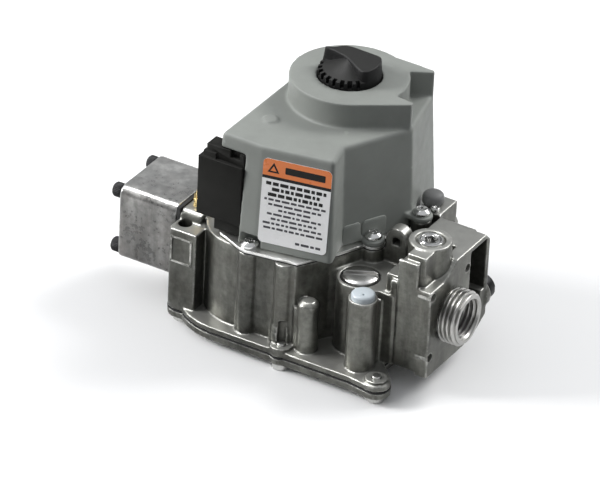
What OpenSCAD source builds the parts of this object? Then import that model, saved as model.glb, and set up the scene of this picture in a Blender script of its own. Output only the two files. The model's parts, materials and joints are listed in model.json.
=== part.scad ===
// Combination gas valve: a die-cast body with a bolt-on inlet flange, a threaded
// outlet nozzle, two solenoid valves, a servo regulator, a diaphragm main valve
// and a rotary on/off knob under a moulded cover. Sizes are in millimetres.
// Origin: centre of the flat dish under the bottom cover. +X is the way the gas
// flows, -Y is the front with the label, +Z is up.

/* [Base] */
// Distance from the origin to the front edge of the base flange
base_front = 40; // [39.5:0.5:41]
// Distance from the origin to the left edge of the base flange
base_left = 49; // [48:0.5:50]
// Distance from the origin to the back edge of the base flange
base_back = 42; // [41:0.5:44]
// Thickness of the plate part of the bottom cover
plate_t = 2.8; // [2.4:0.1:3.2]
// Radius of the ears around the base screws
ear_r = 5.5; // [5:0.1:6]

/* [Body] */
// Height of the deck under the steel plate
deck_z = 42.6; // [42:0.1:43]
// Height of the shoulder and of the two front towers
shoulder_z = 37.5; // [36:0.5:39]
// Diameter of the regulator tower
reg_tower_d = 17.6; // [17:0.1:19]
// Diameter of the vent tower
vent_tower_d = 11; // [10.4:0.1:12]

/* [Gas way] */
// Distance of the gas way in front of the origin
flow_front = 10.5; // [10:0.1:11]
// Height of the gas way
flow_z = 29.2; // [28.8:0.1:29.6]
// Outside diameter of the outlet thread
nozzle_od = 20.96; // [20:0.02:22]
// Inside diameter of the outlet thread
nozzle_id = 15.7; // [14:0.1:16.5]
// Length of the outlet nozzle
nozzle_len = 8.2; // [6:0.1:12]
// Place of the outlet end face along the gas way
end_x = 58.6; // [58:0.1:60]

/* [Inlet flange] */
// Length of the inlet flange block
block_len = 24.8; // [20:0.1:30]
// Side of the square inlet flange block
block_side = 31; // [30:0.1:33]
// Distance of the flange screws from the gas way, each way
block_bolt = 11.8; // [11.6:0.1:12.4]
// Diameter of the inlet's pipe thread
inlet_d = 18.6; // [16:0.1:19]

/* [Cover] */
// Height of the cover's main top face
cover_top = 85; // [84:0.5:88]
// Height of the raised ring around the knob
boss_top = 95; // [94:0.5:97]
// Radius of the raised ring around the knob
boss_r = 22.3; // [21:0.1:23]
// Wall thickness of the cover
cover_wall = 2.2; // [1.8:0.1:2.6]

/* [Knob] */
// Diameter of the knob
knob_d = 23.5; // [22:0.1:23.8]
// Height of the knob's top above the base
knob_top = 103; // [102:0.5:105]

/* [Hidden] */

$fn = 64;
facets = 32;
slip = 0.05;
eps = 0.01;

// Levels of the base stack, from the bottom up
sheet_z = 5.6;
sheet_t = 0.6;
flange_z = sheet_z + sheet_t;
flange_top = 8.5;
chamber_top = 10.5;
seat_z = 24;
gasket_t = 0.4;
plate_z = deck_z + gasket_t;
cover_z = plate_z + 1;

// Places of the vertical axes: safety valve, main valve, servo valve, knob and towers
flow_y = -flow_front;
safety_at = [-15.5, -12];
main_at = [0, 0];
servo_at = [4.5, -15.5];
knob_at = [-3.8, 18.3];
reg_at = [25.6, -18.7];
vent_at = [33.9, -30.9];
tap_at = [48.8, -9.8];
tap_top = 57;
fitting_at = [-42.6, -17.6];
arch_at = [31.5, 0];
grey_cap_at = [31.2, 23.4];
lock_screw_at = [34.7, 18.7];
rear_plug_at = [53.5, 21.5];

// Screws that hold the base, the cover and the steel plate
base_screw_at = [[-43.5, -28.5], [4, -36.6], [44, -36], [-43.5, 30], [2, 38.6], [36, 36]];
post_a = [22.4, -4.6];
post_b = [32.2, 13.2];
post_c = [-13.2, -33];
post_e = [-35, 28];
foot_top = 46;
bracket_top = 50.5;
ear_a = 4.4;
ear_b = 4.2;

// The end face's tapped holes
end_hole_y = 12.6;
end_hole_z = 12.8;
end_hole_r = 1.7;

// Inlet flange, from the body's left face outwards
pad_x = -47.5;
block_x = pad_x - 1.5;
block_end = block_x - block_len;

// Travel of the moving pieces that other sizes depend on
main_gap = 0.1;
cam_drop = 1;
cam_r = 7;
cap_seat_z = 34.6;
pad_top = 44;

alu = [0.62, 0.62, 0.6];
alu_bright = [0.74, 0.74, 0.72];
steel = [0.8, 0.8, 0.8];
black = [0.06, 0.06, 0.065];
grey_cover = [0.6, 0.62, 0.6];
rubber = [0.08, 0.08, 0.08];
copper = [0.72, 0.42, 0.24];
brass = [0.8, 0.65, 0.3];

module at(p, z = 0) { translate([p[0], p[1], z]) children(); }

module disc(p, r, z0, z1) { at(p, z0) cylinder(r = r, h = z1 - z0); }

module block(x, y, z) {
    translate([x[0], y[0], z[0]])
        cube([x[1] - x[0], y[1] - y[0], z[1] - z[0]]);
}

module slab(z0, z1) {
    translate([0, 0, z0]) linear_extrude(z1 - z0) children();
}

// A cylinder along X from x0 to x1, with its axis at y, z
module along_x(r, x0, x1, y, z) {
    translate([x0, y, z]) rotate([0, 90, 0]) cylinder(r = r, h = x1 - x0);
}

// A horizontal passage of radius r from plan point a to plan point b
module passage(a, b, z, r) {
    way = b - a;
    at(a, z) rotate([0, 90, atan2(way[1], way[0])]) cylinder(r = r, h = norm(way));
}

module ring(p, r_out, r_in, z0, z1) {
    difference() {
        disc(p, r_out, z0, z1);
        disc(p, r_in, z0 - eps, z1 + eps);
    }
}

// A coil spring: a round wire swept along a helix, with the given outer radius
module coil_spring(p, r_out, wire_r, z0, z1, turns) {
    sides = 6;
    steps = 12 * turns;
    mean_r = r_out - wire_r;
    rise = z1 - z0 - 2 * wire_r;
    wire = [for (i = [0:steps]) for (j = [0:sides - 1])
        let (turn = 30 * i, r = mean_r + wire_r * cos(60 * j))
            [r * cos(turn), r * sin(turn),
             z0 + wire_r + rise * i / steps + wire_r * sin(60 * j)]];
    first_cap = [[for (j = [0:sides - 1]) j]];
    last_cap = [[for (j = [sides - 1:-1:0]) steps * sides + j]];
    walls = [for (i = [0:steps - 1]) for (j = [0:sides - 1])
        let (k = (j + 1) % sides)
            [i * sides + j, (i + 1) * sides + j, (i + 1) * sides + k, i * sides + k]];
    at(p) polyhedron(points = wire, faces = concat(first_cap, walls, last_cap), convexity = 6);
}

// ---- Base -------------------------------------------------------------------

module base_outline() {
    corner_r = 25;
    back_r = 14;
    side_x = 40;
    translate([corner_r - base_left, corner_r - base_front]) circle(corner_r);
    translate([back_r - base_left, base_back - back_r]) circle(back_r);
    polygon([[corner_r - base_left, -base_front], [side_x, -base_front], [side_x, base_back - 6],
             [side_x - 6, base_back], [back_r - base_left, base_back],
             [-base_left, base_back - back_r], [-base_left, corner_r - base_front]]);
    for (p = base_screw_at) translate(p) circle(ear_r - (p[1] < -36.5 ? 1.1 : 0));
    polygon([[34, -base_front], [44, -36 - ear_r], [44 + ear_r, -36], [47.5, -31.5],
             [43, -27], [side_x, -24], [34, -24]]);
    polygon([[-base_left, -20], [-base_left, -28.5], [-43.5, -34], [-38, -34], [-30, -20]]);
}

module base_screw_holes(r, z0, z1) {
    for (p = base_screw_at) disc(p, r, z0, z1);
}

module bottom_cover() {
    dish_r = 30;
    chamber_r = 28;
    floor_t = 1.2;
    color(alu) difference() {
        union() {
            slab(sheet_z - plate_t, sheet_z) base_outline();
            at(main_at) cylinder(r1 = dish_r - 1.5, r2 = dish_r, h = sheet_z - plate_t + eps);
            for (turn = [0:60:300])
                rotate([0, 0, turn + 30]) block([dish_r - 1, dish_r + 5], [-0.9, 0.9], [1.4, 3]);
        }
        disc(main_at, chamber_r, floor_t, sheet_z + eps);
        base_screw_holes(1.9, 0, sheet_z + eps);
    }
    color(alu) ring(main_at, 5, 3.4, floor_t - eps, 3);
}

module base_screws() {
    head_r = 3.25;
    head_h = 2.6;
    shank_r = 1.6;
    tip_z = 10.4;
    for (p = base_screw_at) color(steel) difference() {
        union() {
            disc(p, head_r, 0.2, sheet_z - plate_t);
            disc(p, shank_r, head_h, tip_z);
        }
        at(p, 0) for (a = [0, 90]) rotate([0, 0, a]) cube([3.6, 0.8, 2.4], center = true);
    }
}

module main_diaphragm() {
    convolution_r = 20.9;
    color(rubber) difference() {
        union() {
            slab(sheet_z, flange_z) difference() {
                base_outline();
                circle(15);
            }
            rotate_extrude($fn = 64) translate([convolution_r, flange_z - 0.2]) difference() {
                circle(2.2, $fn = 24);
                circle(1.7, $fn = 24);
                translate([-3, -6]) square([6, 6]);
            }
        }
        rotate_extrude($fn = 64) translate([convolution_r - 1.7, sheet_z - 1]) square([3.4, 1.8]);
        base_screw_holes(1.9, sheet_z - eps, flange_z + eps);
    }
}

module diaphragm_plate() {
    color(steel) ring(main_at, 17, 2, flange_z + main_gap, flange_z + 1.1);
    color(steel) ring(main_at, 14.8, 2, sheet_z - 1.1, sheet_z - main_gap);
    color(steel) ring(main_at, 14.8, 2, sheet_z - main_gap, flange_z + main_gap);
}

module valve_stem() {
    color(steel) disc(main_at, 2, 3.6, 28.2);
    color(steel) ring(main_at, 3.2, 2, 3.6, 4.5);
    color(steel) ring(main_at, 3.2, 2, 26.8, 28);
}

module main_valve_disc() {
    color(rubber) ring(main_at, 8.8, 2, seat_z + main_gap, seat_z + 1.3);
    color(alu) ring(main_at, 8.2, 2, seat_z + 1.3, seat_z + 2.8);
}

module main_valve_spring() {
    color(steel) coil_spring(main_at, 6.8, 0.5, seat_z + 2.85, deck_z + gasket_t - 0.05, 6);
}

// ---- Die-cast body ----------------------------------------------------------

module deck_outline() {
    translate([-20, -14]) circle(20);
    translate([-28, 28.5]) circle(12);
    polygon([[-20, -34], [7, -34], [15.3, -20], [19.6, -10], [26.5, 8], [24.5, 36], [20.5, 40.5],
             [-28, 40.5], [-40, 28.5], [-40, -14]]);
    translate(post_c) circle(4.1);
    translate(post_a) circle(ear_a);
}

module shoulder_outline() {
    polygon([[14, -22], [18, -18], [25.6, -27.5], [33, -26.5], [36.5, -24], [43, -24.6],
             [45, -22], [45, 17], [40, 30], [34, 38], [18, 39], [10, 0]]);
}

// The casting's end towards the outlet: end plate, side frame, core and front web
module outlet_end() {
    end_t = 5.6;
    frame_y = [2.3, 18.5];
    frame_z = [15.7, 49.5];
    front_y = -25.1;
    color(alu) {
        translate([end_x - end_t, 0, 0]) rotate([90, 0, 90]) linear_extrude(end_t)
            polygon([[front_y, 8], [front_y, 44.5], [-15.5, 44.5], [-11, 46.5], [-6, 49.5],
                     [frame_y[1] - 3, frame_z[1]], [frame_y[1], frame_z[1] - 3],
                     [frame_y[1], 14], [12, 10.5], [2, 8]]);
        block([38, end_x - end_t + eps], [-22, 3], [9.5, 45]);
        block([38, end_x - end_t + eps], [2, frame_y[1]], [14, 46.5]);
        along_x(3, 38, end_x - end_t + eps, frame_y[1] - 3, 46.5);
        block([38, end_x - end_t + eps], [2, frame_y[1] - 3], [46, frame_z[1]]);
        block([44.3, 52.7], [front_y, front_y + 1.8], [9.5, 54.4]);
        block([41, end_x - 2], [front_y + 1.2, -21], [9.5, 44]);
        block([46.5, 54.4], [-22.6, -9], [40, tap_top - 0.6]);
    }
}

// The ribs, columns and screw bosses that stand on the base flange
module front_columns() {
    column_b = [1.9, -33.2];
    column_d = [12.3, -32.4];
    disc(column_b, 3.6, flange_top, deck_z);
    disc(column_b, 4.3, flange_top, 14);
    disc(column_b, 4, 13.9, 16.3);
    disc(column_d, 4, flange_top, 28);
    at(column_d, 28) cylinder(r1 = 4, r2 = 2.4, h = 1.6);
    disc([-29, -29.2], 2.2, flange_top, 40);
    disc([8.4, -33.6], 1.4, flange_top, 26);
    for (p = base_screw_at) disc(p, ear_r - 1.2, flange_z, flange_top + 1.2);
    for (x = [-33, -12, 12]) disc([x, 39.2], 2.6, flange_top, deck_z - 3);
}

module left_block() {
    date_x = [pad_x, -35.4];
    color(alu) difference() {
        union() {
            block([date_x[0] + 2, date_x[1]], [-34, -14], [flange_top, 40.5]);
            block([date_x[0], date_x[1] - 2], [-32, -14], [flange_top, 40.5]);
            disc([date_x[0] + 2, -32], 2, flange_top, 40.5);
            disc([date_x[1] - 2, -32], 2, flange_top, 40.5);
        }
        block([-46.2, -37.2], [-34.1, -33.6], [26.8, 37.6]);
        disc([-43.9, -27.8], 2.5, 24, 41);
    }
    block([-45.6, -37.8], [-33.85, -33.5], [27.4, 37]);
}

module inlet_pad() {
    low_z = flow_z - block_side / 2;
    edge_r = 3.2;
    inner_x = -38.4;
    for (y = [flow_y - 15.4 + edge_r, flow_y + 15.4 - edge_r])
        for (z = [low_z + edge_r, pad_top - edge_r]) along_x(edge_r, pad_x, inner_x, y, z);
    block([pad_x, inner_x], [flow_y - 15.4, flow_y + 15.4], [low_z + edge_r, pad_top - edge_r]);
    block([pad_x, inner_x], [flow_y - 15.4 + edge_r, flow_y + 15.4 - edge_r], [low_z, pad_top]);
    block([pad_x + 3, -34], [flow_y - 13, flow_y + 13], [low_z, deck_z - 1.4]);
}

module tower(p, r) { disc(p, r, flange_top - eps, shoulder_z); }

// The boss with an arched top and a square socket in its face
module arch_boss() {
    half = 4.5;
    depth = 5.5;
    spring_z = 47.5;
    face_y = arch_at[1] - 4;
    difference() {
        union() {
            block([arch_at[0] - half, arch_at[0] + half], [face_y, face_y + depth],
                  [shoulder_z - 1, spring_z]);
            translate([arch_at[0], face_y, spring_z]) rotate([-90, 0, 0])
                cylinder(r = half, h = depth);
        }
        block([arch_at[0] - 1.5, arch_at[0] + 1.5], [face_y - 1, face_y + 4], [45, 48]);
    }
}

// Everything the casting is made of, before any hole is cut
module body_mass() {
    slab(flange_z, flange_top) base_outline();
    slab(flange_top - eps, deck_z) deck_outline();
    slab(flange_top - eps, shoulder_z) shoulder_outline();
    front_columns();
    left_block();
    inlet_pad();
    outlet_end();
    tower(reg_at, reg_tower_d / 2);
    tower(vent_at, vent_tower_d / 2);
    block([26, 38], [-28, -20], [flange_top, shoulder_z - 3]);
    disc(tap_at, 8.1, 40, tap_top);
    arch_boss();
    disc(post_b, 3.9, shoulder_z - 1, bracket_top - 2);
    disc(post_e, 4.2, flange_top, deck_z);
    block([28.3, 38], [16.8, 30], [shoulder_z - 1, bracket_top - 0.6]);
    along_x(nozzle_od / 2, end_x - 1, end_x + nozzle_len, flow_y, flow_z);
    translate([rear_plug_at[0], 17, rear_plug_at[1]]) rotate([-90, 0, 0]) cylinder(r = 6.2, h = 3);
}

// Gas ways: inlet, safety valve, rotary shut-off, main valve and outlet
module gas_ways() {
    low_z = 16.5;
    drop_at = [44, flow_y];
    port_at = knob_at - [5.6, 0];
    along_x(8, pad_x - 1, safety_at[0] - 4, flow_y, flow_z);
    along_x(9.6, pad_x - 1, pad_x + 1.4, flow_y, flow_z);
    disc(safety_at, 8.2, seat_z, deck_z + 1);
    disc(safety_at, 4.5, 19, seat_z + 1);
    disc(safety_at, 7, 13, 20);
    passage(safety_at, [safety_at[0], port_at[1]], low_z, 3.2);
    passage([safety_at[0] - 3, port_at[1]], port_at + [3.4, 0], low_z, 3.1);
    disc(port_at, 3, low_z, 23);
    disc(knob_at, 10.3, 22, 34);
    disc(main_at, 9.8, seat_z, deck_z + 1);
    disc(main_at, 7.5, 19, seat_z + 1);
    disc(main_at, 9.2, 9, 20);
    disc(main_at, 28, flange_z - 1, chamber_top - 3);
    disc(main_at, 23.8, flange_z, chamber_top);
    passage([5, 0], drop_at, 17, 4.2);
    disc(drop_at, 6, 12.4, flow_z);
    along_x(nozzle_id / 2 - 1.6, drop_at[0], end_x + 1, flow_y, flow_z);
    along_x(nozzle_id / 2, end_x + nozzle_len - 14, end_x + nozzle_len + 1, flow_y, flow_z);
}

// Bores for the shaft, the servo, the regulator, the vent and the pressure tap
module service_bores() {
    disc(knob_at, 3 + slip, 33, deck_z + 1);
    disc(knob_at, 4.65, 37, 38.8);
    disc(servo_at, 4.6, 33, deck_z + 1);
    disc(servo_at, 0.9, 28, 34);
    passage(servo_at, reg_at, 28, 0.9);
    disc(reg_at, 6.4, 14.4, 24);
    disc(reg_at, 5.5 + slip, 23, shoulder_z + 1);
    disc(reg_at, 6.75 + slip, cap_seat_z, shoulder_z + 1);
    ring(reg_at, 7.45, 6.7, shoulder_z - 0.9, shoulder_z + 1);
    disc(reg_at, 2, 11.6, 15);
    disc(vent_at, 3.6, 29, shoulder_z + 1);
    disc(vent_at, 4.45 + slip, shoulder_z - 0.6, shoulder_z + 1);
    passage(vent_at, reg_at, 31, 1);
    disc(tap_at, 5.45, tap_top - 1.1, tap_top + 1);
    disc(tap_at, 3.7, 44, tap_top);
    disc(tap_at, 1, flow_z, 45);
    translate([rear_plug_at[0], 15.2, rear_plug_at[1]]) rotate([-90, 0, 0])
        cylinder(r = 3.2, h = 12);
    disc(fitting_at, 2.6, 37.5, pad_top + 1);
}

module screw_holes() {
    r = 1.65;
    base_screw_holes(r, flange_z - 1, 19);
    for (p = [post_a, post_c, post_e]) disc(p, r, 32, deck_z + 1);
    disc(post_b, r, 36, bracket_top);
    disc(grey_cap_at, 1.6, 42, bracket_top);
    disc(lock_screw_at, 1.05, 44, bracket_top);
    for (dy = [-end_hole_y, end_hole_y]) for (dz = [-end_hole_z, end_hole_z])
        along_x(end_hole_r, end_x - 5.2, end_x + 1, flow_y + dy, flow_z + dz);
    for (dy = [-block_bolt, block_bolt]) for (dz = [-block_bolt, block_bolt])
        along_x(r, pad_x - 1, pad_x + 8.4, flow_y + dy, flow_z + dz);
}

// The spider that guides the main valve's stem in its seat
module stem_guide() {
    difference() {
        union() {
            disc(main_at, 3.8, 20, 23);
            for (turn = [90, 210, 330])
                rotate([0, 0, turn]) block([3, 8], [-0.9, 0.9], [20, 23]);
        }
        disc(main_at, 2 + slip, 19, 24);
    }
}

module valve_body() {
    color(alu) difference() {
        body_mass();
        gas_ways();
        service_bores();
        screw_holes();
        disc(post_b, ear_b + 0.3, bracket_top - 2, bracket_top + 1);
        block([41, end_x + 1], [4.3, 16.4], [26.2, 47.4]);
        block([41, end_x + 1], [4.3, 13.6], [17.7, 26.3]);
    }
    color(alu) stem_guide();
}

module deck_sheet(hole_r) {
    difference() {
        union() {
            polygon([[-31, -25], [-27, -31.2], [-24.4, -32.2], [-16.2, -36.1], [-13.2, -37],
                     [-10.4, -36.4], [7.4, -33.6], [15.9, -19.7], [20.3, -9.8], [27.3, 8],
                     [25.3, 36], [20.5, 41.4], [-28, 41.4], [-39, 37], [-40.5, 29],
                     [-40.5, 8], [-31, 2]]);
            translate(post_a) circle(ear_a);
        }
        for (p = [post_a, post_c, post_e]) translate(p) circle(1.8);
        translate(knob_at) circle(3 + 4 * slip);
        translate(safety_at) circle(hole_r[0]);
        translate(servo_at) circle(hole_r[1]);
        if (hole_r[2] > 0) translate(main_at) circle(hole_r[2]);
    }
}

module deck_gasket() {
    color([0.2, 0.2, 0.19]) slab(deck_z, plate_z) deck_sheet([8, 4.5, 9.6]);
}

module steel_plate() {
    color(steel) slab(plate_z, cover_z) deck_sheet([5.25, 3.65, 0]);
}

// ---- Inlet flange -----------------------------------------------------------

module inlet_block() {
    half = block_side / 2;
    edge_r = 3.8;
    hole_r = 2;
    color(alu_bright) difference() {
        union() {
            block([block_end, block_x], [flow_y - half + edge_r, flow_y + half - edge_r],
                  [flow_z - half, flow_z + half]);
            block([block_end, block_x], [flow_y - half, flow_y + half],
                  [flow_z - half + edge_r, flow_z + half - edge_r]);
            for (dy = [-1, 1]) for (dz = [-1, 1])
                along_x(edge_r, block_end, block_x, flow_y + dy * (half - edge_r),
                        flow_z + dz * (half - edge_r));
        }
        along_x(inlet_d / 2, block_end - 1, block_end + 16, flow_y, flow_z);
        along_x(7.6, block_end + 15, block_x + 1, flow_y, flow_z);
        for (dy = [-block_bolt, block_bolt]) for (dz = [-block_bolt, block_bolt])
            along_x(hole_r, block_end - 1, block_x + 1, flow_y + dy, flow_z + dz);
    }
}

module inlet_gasket() {
    half = block_side / 2 - 0.4;
    color(rubber) difference() {
        block([block_x, pad_x], [flow_y - half, flow_y + half],
              [flow_z - half, flow_z + half]);
        along_x(9.6, block_x - 1, pad_x + 1, flow_y, flow_z);
        for (dy = [-block_bolt, block_bolt]) for (dz = [-block_bolt, block_bolt])
            along_x(1.9, block_x - 1, pad_x + 1, flow_y + dy, flow_z + dz);
    }
}

module inlet_screws() {
    head_h = 4;
    color(black) for (dy = [-block_bolt, block_bolt]) for (dz = [-block_bolt, block_bolt])
        difference() {
            union() {
                along_x(2.85, block_end - head_h, block_end, flow_y + dy, flow_z + dz);
                along_x(1.6, block_end - eps, pad_x + 8, flow_y + dy, flow_z + dz);
            }
            translate([block_end - head_h - 1, flow_y + dy, flow_z + dz]) rotate([0, 90, 0])
                cylinder(r = 1.6, h = 3.4, $fn = 6);
        }
}

module inlet_screen() {
    bar = 0.7;
    step = 2.4;
    color(steel) {
        difference() {
            along_x(9.4, pad_x + 0.05, pad_x + 1.25, flow_y, flow_z);
            along_x(8, pad_x - 1, pad_x + 2, flow_y, flow_z);
        }
        for (i = [-2:2]) {
            chord = sqrt(8.4 * 8.4 - step * step * i * i);
            block([pad_x + 0.3, pad_x + 0.7], [flow_y - chord, flow_y + chord],
                  [flow_z + i * step - bar / 2, flow_z + i * step + bar / 2]);
            block([pad_x + 0.6, pad_x + 1], [flow_y + i * step - bar / 2, flow_y + i * step + bar / 2],
                  [flow_z - chord, flow_z + chord]);
        }
    }
}

// ---- Solenoid valves --------------------------------------------------------

module core_tube(p, r_out, r_in, flange_r, plug_z, top_z) {
    color(steel) {
        ring(p, r_out, r_in, plate_z + 0.05, plug_z);
        ring(p, flange_r, r_out - eps, cover_z, cover_z + 0.8);
        disc(p, r_out, plug_z - eps, top_z);
        disc(p, 1.8, top_z - eps, top_z + 1.6);
    }
}

module coil(p, r_out, r_in, z0, z1) {
    cheek = 1;
    color(black) {
        ring(p, r_out, r_in, z0, z0 + cheek);
        ring(p, r_out, r_in, z1 - cheek, z1);
        ring(p, r_in + 0.8, r_in, z0, z1);
    }
    color(copper) ring(p, r_out - 0.7, r_in + 0.8, z0 + cheek, z1 - cheek);
}

module yoke(p, half, hole_r, z0, z1) {
    t = 1.3;
    color(steel) difference() {
        at(p) block([-half, half], [-half * 0.6, half + t + 0.2], [z0, z1]);
        at(p) block([-half - 1, half + 1], [-half, half + 0.2], [z0 + t, z1 - t]);
        disc(p, hole_r, z0 - 1, z1 + 1);
    }
}

module safety_plunger() {
    color(steel) disc(safety_at, 4.5, seat_z + 3, 62);
    color(steel) disc(safety_at, 7.2, seat_z + 1.3, seat_z + 3);
}

module safety_seal() {
    color(rubber) disc(safety_at, 6.6, seat_z + main_gap, seat_z + 1.3);
}

module safety_spring() {
    color(steel) coil_spring(safety_at, 7, 0.5, seat_z + 3.05, plate_z - 0.05, 5);
}

module safety_core_tube() { core_tube(safety_at, 5.2, 4.5 + slip, 7.6, 64.5, 70.5); }

module safety_coil() { coil(safety_at, 9.1, 5.3, 46.6, 69.4); }

module safety_yoke() { yoke(safety_at, 9.3, 5.3, 45, 71); }

module servo_plunger() {
    color(steel) difference() {
        disc(servo_at, 3, 37.4, 56);
        disc(servo_at, 2.2, 53, 57);
    }
}

module servo_seal() { color(rubber) disc(servo_at, 2, 33 + main_gap, 37.4); }

module servo_spring() { color(steel) coil_spring(servo_at, 2.1, 0.25, 53.05, 59.7, 5); }

module servo_core_tube() { core_tube(servo_at, 3.6, 3 + slip, 5.4, 59.8, 63.8); }

module servo_coil() { coil(servo_at, 6, 3.7, 46.6, 61); }

module servo_yoke() { yoke(servo_at, 6.1, 3.7, 45, 62.6); }

// ---- Knob, shut-off disc and switch -----------------------------------------

// The grip in plan: a pointer to the left that widens to a full end on the right
module grip_outline(end_r) {
    half = 6.8;
    polygon(concat([[0.4 - end_r, -0.5], [-8, -0.3], [-4.5, -0.4], [-1.5, -1], [2, -2.7], [5, -4.6],
                    [7.8, -6.2]],
                   [for (a = [-27:9:36]) end_r * [cos(a), sin(a)]],
                   [[9, half], [-4.2, half], [-6.2, 5.2], [-7.6, 3.2], [-9.6, 1.2],
                    [0.4 - end_r, 0.6]]));
}

module knob() {
    r = knob_d / 2;
    skirt_z = boss_top + 2.6;
    skirt_low = boss_top - 1.9;
    hub_low = 84;
    teeth = 24;
    color(black) at(knob_at) difference() {
        union() {
            translate([0, 0, skirt_low]) cylinder(r = r, h = skirt_z - skirt_low);
            translate([0, 0, skirt_z - eps]) cylinder(r1 = r - 0.4, r2 = 6.4, h = 2.6);
            translate([0, 0, hub_low]) cylinder(r = 5.2, h = boss_top - hub_low);
            slab(skirt_z - 1, knob_top) grip_outline(r - 0.3);
        }
        for (i = [0:teeth - 1]) rotate([0, 0, (i + 0.5) * 360 / teeth])
            translate([r + 0.25, 0, boss_top + 0.6]) cylinder(r = 0.75, h = 12, $fn = 24);
        translate([0, 0, hub_low - 1]) cylinder(r = 3, h = 13);
    }
}

module knob_shaft() {
    color(steel) {
        disc(knob_at, 3, 22.1, 96);
        disc(knob_at, 4.2, 44.6, 46);
    }
}

module shaft_o_ring() {
    wire_r = 0.75;
    color(rubber) at(knob_at, 37.9) rotate_extrude()
        translate([3 + slip + wire_r, 0]) circle(wire_r, $fn = 24);
}

module shutoff_disc() {
    color(brass) difference() {
        disc(knob_at, 9.6, 22.1, 25);
        disc(knob_at, 3, 21, 26);
        disc(knob_at - [5.6, 0], 2.4, 21, 26);
    }
}

module shutoff_spring() { color(steel) coil_spring(knob_at, 4.6, 0.45, 25.05, 33.8, 4); }

// Cam radius: one millimetre less for each quarter turn, then a return slope
function cam_radius(a) = a <= 300 ? cam_r - cam_drop * (a - 180) / 90
    : cam_r - cam_drop * 120 / 90 + cam_drop * (a - 300) * 150 / 90 / 210;

module switch_cam() {
    color([0.85, 0.84, 0.8]) difference() {
        at(knob_at, 58) linear_extrude(5)
            polygon([for (a = [150:5:505]) cam_radius(a) * [cos(a), sin(a)]]);
        disc(knob_at, 3, 57, 64);
    }
}

module switch_body() {
    x = [-26.4, -15];
    color([0.13, 0.13, 0.15]) difference() {
        block(x, [knob_at[1] - 7, knob_at[1] + 7], [52, 69]);
        along_x(1.3 + slip, x[1] - 4, x[1] + 1, knob_at[1], 60.5);
        for (z = [54.5, 66.5]) along_x(1, x[0] - 1, x[1] + 1, knob_at[1] + 4, z);
    }
    color(steel) for (y = [-4, 0, 4])
        block([x[0] + 4, x[0] + 4.8], [knob_at[1] + y - 1.4, knob_at[1] + y + 1.4], [46.5, 52]);
    color(steel) block([x[0], x[0] + 1.2], [knob_at[1] - 6, knob_at[1] + 6], [cover_z, 52]);
}

module switch_plunger() {
    tip_x = knob_at[0] - cam_r - 0.3;
    color([0.75, 0.2, 0.15]) along_x(1.3, -18.4, tip_x, knob_at[1], 60.5);
}

// ---- Regulator --------------------------------------------------------------

module regulator_cap() {
    rim_r = 6.75;
    top_z = shoulder_z + 1.2;
    color(alu_bright) difference() {
        union() {
            disc(reg_at, rim_r, cap_seat_z + 0.6, shoulder_z + 0.4);
            at(reg_at, shoulder_z + 0.4) cylinder(r1 = rim_r, r2 = 5.4, h = top_z - shoulder_z - 0.4);
        }
        at(reg_at, top_z) rotate([0, 0, 28]) cube([16, 3, 3], center = true);
        disc(reg_at, 3, cap_seat_z, cap_seat_z + 1.6);
    }
}

module regulator_cap_seal() { color(rubber) ring(reg_at, 6.7, 5.8, cap_seat_z, cap_seat_z + 0.55); }

module adjusting_screw() {
    color([0.9, 0.9, 0.86]) difference() {
        disc(reg_at, 5.5, 30.6, 33.8);
        at(reg_at, 33.8) cube([8, 1.4, 2.4], center = true);
    }
}

module spring_seat() {
    color(steel) disc(reg_at, 5, 29, 30.5);
    color(steel) disc(reg_at, 2, 26.6, 29.1);
}

module regulator_spring() { color(steel) coil_spring(reg_at, 4.6, 0.4, 17.8, 28.95, 6); }

module regulator_diaphragm() {
    color([0.5, 0.18, 0.12]) disc(reg_at, 6.35, 16, 16.6);
    color(alu) disc(reg_at, 4.9, 16.6, 17.7);
    color(alu) disc(reg_at, 1.6, 14.6, 16);
}

module vent_plug() {
    color([0.78, 0.83, 0.87]) difference() {
        union() {
            disc(vent_at, 4.45, shoulder_z - 0.6, shoulder_z + 1.5);
            at(vent_at, shoulder_z + 1.5) cylinder(r1 = 4.45, r2 = 3.9, h = 0.6);
            disc(vent_at, 3.55, 31, shoulder_z);
        }
        disc(vent_at + [0.7, -1.2], 0.5, 30, shoulder_z + 3);
    }
}

// ---- Plugs and small fittings -----------------------------------------------

module tap_plug() {
    color(steel) difference() {
        union() {
            disc(tap_at, 3.65, 47, tap_top - 1.1);
            disc(tap_at, 4.7, tap_top - 1.1, tap_top - 0.1);
        }
        at(tap_at, tap_top - 3.4) cylinder(r = 2.75, h = 5, $fn = 6);
    }
}

module rear_plug() {
    color(black) translate([rear_plug_at[0], 0, rear_plug_at[1]]) rotate([-90, 0, 0]) difference() {
        union() {
            translate([0, 0, 15.4]) cylinder(r = 3.15, h = 5);
            translate([0, 0, 20]) cylinder(r = 5.2, h = 4.6);
            translate([0, 0, 24.6]) cylinder(r1 = 5.2, r2 = 3.8, h = 1.4);
        }
        translate([-6, -0.8, 24.4]) cube([12, 1.6, 3]);
    }
}

module grey_cap() {
    z = bracket_top - 0.6;
    color([0.3, 0.3, 0.31]) difference() {
        union() {
            disc(grey_cap_at, 3.7, z, z + 3.4);
            at(grey_cap_at, z + 3.4) cylinder(r1 = 3.7, r2 = 2.5, h = 1.5);
            disc(grey_cap_at, 1.55, z - 5, z + eps);
        }
        at(grey_cap_at, z + 4.9) cube([9, 1.2, 1.6], center = true);
    }
}

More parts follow.
